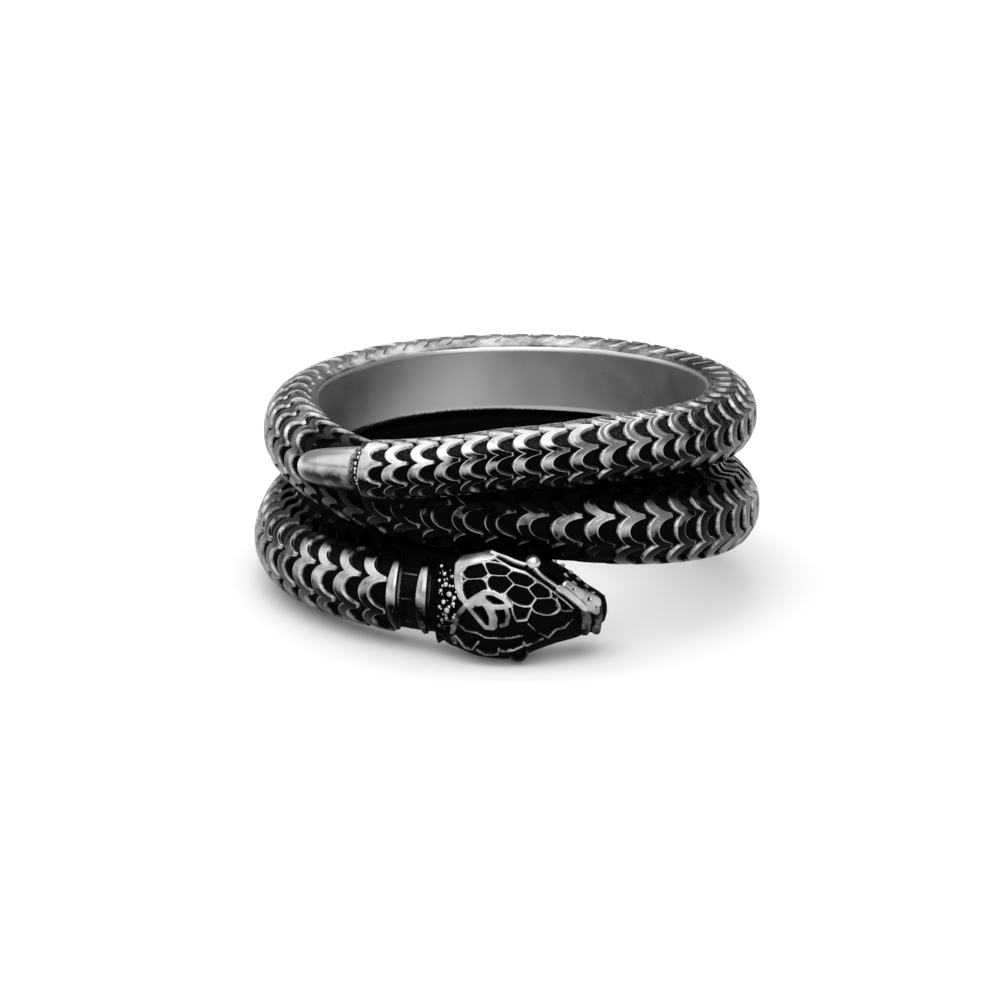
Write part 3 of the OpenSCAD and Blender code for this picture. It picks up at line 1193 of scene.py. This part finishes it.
def to_line(ahead, across, points):
    """Distance to a line of points."""
    least = np.full(ahead.shape, 99.0)
    for (x0, y0), (x1, y1) in zip(points[:-1], points[1:]):
        dx, dy = x1 - x0, y1 - y0
        share = np.clip(((ahead - x0) * dx + (across - y0) * dy) / (dx * dx + dy * dy), 0, 1)
        least = np.minimum(least, np.hypot(ahead - x0 - share * dx, across - y0 - share * dy))
    return least


def head_relief(looks, ahead, across):
    """Height over the skin, polish and painted light of each point of the head."""
    net = looks.net / MM
    sunk = looks.sunk / MM
    reach = np.array([turned(ahead, across, row) for row in HEAD_SCALES])
    nearest = np.sort(reach, axis=0)
    inside = (1 - nearest[0]) * SCALE_SIZE
    between = (nearest[1] - nearest[0]) * SCALE_SIZE
    pocket = ramp(np.minimum(inside + SCALE_EDGE, between - net / 2), 0.0, NET_SLOPE)
    netted = ramp(-inside, *NET_REACH) * (1 - pocket)
    lift = -sunk + sunk * netted
    polish = netted.copy()
    bright = netted * NET_BRIGHT
    for half, height, shine, points in HEAD_RIDGES:
        away = to_line(ahead, across, points)
        crown = np.sqrt(np.clip(1 - (away / (half * RIDGE_FOOT)) ** 2, 0, 1))
        ridge = -sunk + (sunk + height) * np.minimum(crown * RIDGE_ROUND, 1)
        lift = np.where(away < half * RIDGE_FOOT, np.maximum(lift, ridge), lift)
        cover = ramp(away, half * RIDGE_TOP[0], half * RIDGE_TOP[1])
        gleam = min(RIDGE_LEAST_POLISH + (1 - RIDGE_LEAST_POLISH) * shine, 1)
        polish = np.maximum(polish, cover * gleam)
        bright = np.maximum(bright, cover * shine)
    for row in HEAD_DASHES:
        dash = ramp(turned(ahead, across, row), *DASH_ENDS)
        lift = np.maximum(lift, -sunk + (sunk + DASH_HEIGHT) * dash)
        polish = np.maximum(polish, DASH_BRIGHT * dash)
        bright = np.maximum(bright, DASH_BRIGHT * dash)
    for row in HEAD_PITS:
        pit = ramp(turned(ahead, across, row), *PIT_ENDS)
        lift = lift - row[5] * pit
        polish = polish * (1 - pit)
    return lift, polish, bright


class RING_OT_head(bpy.types.Operator):
    """Build the netted head"""

    bl_idname = "snake_ring.head"
    bl_label = "Head"

    def execute(self, context):
        looks = context.scene.ring_head
        skin_rings = np.linspace(*HEAD_RINGS)
        along = np.concatenate([skin_rings, np.full(len(SNOUT_RINGS), skin_rings[-1])])
        around = runs(HEAD_COLUMNS)
        points = head_point(np.maximum(along, HEAD[0, 0])[:, None], around[None, :])
        hidden = ramp(around, *HIDDEN_STARTS) * ramp(around, *HIDDEN_STOPS)
        points[..., 2] += HIDDEN_RISE * hidden[None, :] * ramp(along, *HIDDEN_ALONG)[:, None]
        behind = np.radians(np.minimum(along - HEAD[0, 0], 0))
        spin_back(points, behind)
        step = np.linalg.norm(np.diff(points, axis=1), axis=2)
        across = np.concatenate([np.zeros((len(along), 1)), np.cumsum(step, 1)], 1)
        middle = np.array([np.interp(0, around, row) for row in across])
        across = across - middle[:, None]
        ahead = np.radians(along - NAPE)[:, None] * HEAD_RADIUS + 0 * across
        lift, polish, bright = head_relief(looks, ahead, across)
        seen = ramp(np.abs(around), *SEEN_AROUND)[None, :]
        lift = lift * seen * ramp(along, *SEEN_ALONG)[:, None]
        polish = polish * seen
        points = points + outwards(points) * lift[..., None]
        end = points[len(skin_rings) - 1].copy()
        centre = end.mean(0)
        azimuth = math.radians(along[-1] + START_AZIMUTH)
        forward = np.array([-math.sin(azimuth), math.cos(azimuth), 0.0])
        for k, (share, push) in enumerate(SNOUT_RINGS):
            points[len(skin_rings) + k] = centre + (end - centre) * share + forward * push
        points[:, -1] = points[:, 0]
        # Painted light on the head, painted shade towards the ground
        light_and_wear = bright * dimmed(points[..., 2], *HEAD_DIM)
        wrap_grid("head", points, polish, light_and_wear, cast_steel(context.scene.ring_steel))
        return {"FINISHED"}


def spin_back(points, angles):
    """Turn each ring of a grid about the bore's axis, where its angle is below zero."""
    for ring, angle in zip(points, angles):
        if angle < 0:
            x = ring[:, 0].copy()
            y = ring[:, 1].copy()
            ring[:, 0] = x * math.cos(angle) - y * math.sin(angle)
            ring[:, 1] = x * math.sin(angle) + y * math.cos(angle)


class RING_OT_eyes(bpy.types.Operator):
    """Build the two eyes"""

    bl_idname = "snake_ring.eyes"
    bl_label = "Eyes"

    def execute(self, context):
        radius = context.scene.ring_head.eye
        bm = bmesh.new()
        for ahead, across, share, sunk in EYES:
            place = nape_point(ahead, across)
            inwards = nape_point(ahead, 0).normalized() * (BORE_RADIUS + EYES_TOWARDS) - place
            place = (place + inwards.normalized() * sunk) * MM
            bmesh.ops.create_uvsphere(
                bm, u_segments=32, v_segments=20, radius=radius * share, matrix=Matrix.Translation(place),
            )
        polish_all(bm)
        finish_mesh(bm, "eyes", cast_steel(context.scene.ring_steel))
        return {"FINISHED"}


class RING_OT_stage(bpy.types.Operator):
    """Set the floor, the lights and the camera"""

    bl_idname = "snake_ring.stage"
    bl_label = "Stage"

    def execute(self, context):
        looks = context.scene.ring_stage
        self.floor(looks)
        self.lights(context, looks)
        self.camera(context, looks)
        return {"FINISHED"}

    def floor(self, looks):
        """A pale plane under the ring"""
        bm = bmesh.new()
        bmesh.ops.create_grid(bm, x_segments=1, y_segments=1, size=FLOOR_SIZE)
        bmesh.ops.translate(bm, verts=bm.verts, vec=(0, 0, cad_low.z))
        mesh = bpy.data.meshes.new("floor")
        bm.to_mesh(mesh)
        bm.free()
        mesh.materials.append(plain_floor(looks))
        floor = bpy.data.objects.new("floor", mesh)
        bpy.context.scene.collection.objects.link(floor)

    def lights(self, context, looks):
        """Soft boxes over and beside the ring, and an even world"""
        for name, place, size, radiance in BOXES:
            light = bpy.data.lights.new(name, "AREA")
            light.shape = "RECTANGLE"
            light.size, light.size_y = size
            light.energy = radiance * math.pi * size[0] * size[1]
            lamp = bpy.data.objects.new(name, light)
            lamp.location = place
            towards = Vector((0, 0, BOXES_AIM)) - Vector(place)
            lamp.rotation_euler = towards.to_track_quat("-Z", "Y").to_euler()
            context.scene.collection.objects.link(lamp)
        world = bpy.data.worlds.new("studio")
        world.use_nodes = True
        background = world.node_tree.nodes["Background"]
        background.inputs["Color"].default_value = (1, 1, 1, 1)
        background.inputs["Strength"].default_value = looks.world
        context.scene.world = world
        context.scene.view_settings.view_transform = "Standard"

    def camera(self, context, looks):
        """The photograph's view"""
        camera = bpy.data.cameras.new("camera")
        camera.lens = looks.lens
        camera.sensor_width = SENSOR
        camera.shift_x, camera.shift_y = CAMERA_SHIFT
        aim = Vector((0, 0, CAMERA_AIM))
        look = Vector((0, math.cos(looks.elevation), -math.sin(looks.elevation)))
        right = Vector((1, 0, 0))
        up = right.cross(look)
        tilted = right * math.cos(looks.roll) + up * math.sin(looks.roll)
        raised = up * math.cos(looks.roll) - right * math.sin(looks.roll)
        turn = Matrix((tilted, raised, -look)).transposed()
        holder = bpy.data.objects.new("camera", camera)
        holder.matrix_world = Matrix.Translation(aim - look * looks.distance) @ turn.to_4x4()
        context.scene.collection.objects.link(holder)
        context.scene.camera = holder


class RING_PT_pieces(bpy.types.Panel):
    """Lists the ring's pieces"""

    bl_label = "Snake wrap ring"
    bl_idname = "RING_PT_pieces"
    bl_space_type = "VIEW_3D"
    bl_region_type = "UI"
    bl_category = "Ring"

    def draw(self, context):
        for operator in OPERATORS:
            self.layout.operator(operator.bl_idname)


LOOKS = (
    ("ring_body", BodyLooks),
    ("ring_head", HeadLooks),
    ("ring_steel", SteelLooks),
    ("ring_stage", StageLooks),
)
OPERATORS = (
    RING_OT_scaled_body,
    RING_OT_tail_tip,
    RING_OT_collar,
    RING_OT_nape_beads,
    RING_OT_head,
    RING_OT_eyes,
    RING_OT_stage,
)


def register():
    for name, group in LOOKS:
        bpy.utils.register_class(group)
        setattr(bpy.types.Scene, name, PointerProperty(type=group))
    for operator in OPERATORS:
        bpy.utils.register_class(operator)
    bpy.utils.register_class(RING_PT_pieces)


def unregister():
    bpy.utils.unregister_class(RING_PT_pieces)
    for operator in reversed(OPERATORS):
        bpy.utils.unregister_class(operator)
    for name, group in reversed(LOOKS):
        delattr(bpy.types.Scene, name)
        bpy.utils.unregister_class(group)


def main():
    register()
    bpy.ops.snake_ring.scaled_body()
    bpy.ops.snake_ring.tail_tip()
    bpy.ops.snake_ring.collar()
    bpy.ops.snake_ring.nape_beads()
    bpy.ops.snake_ring.head()
    bpy.ops.snake_ring.eyes()
    bpy.ops.snake_ring.stage()


if __name__ == "__main__":
    main()
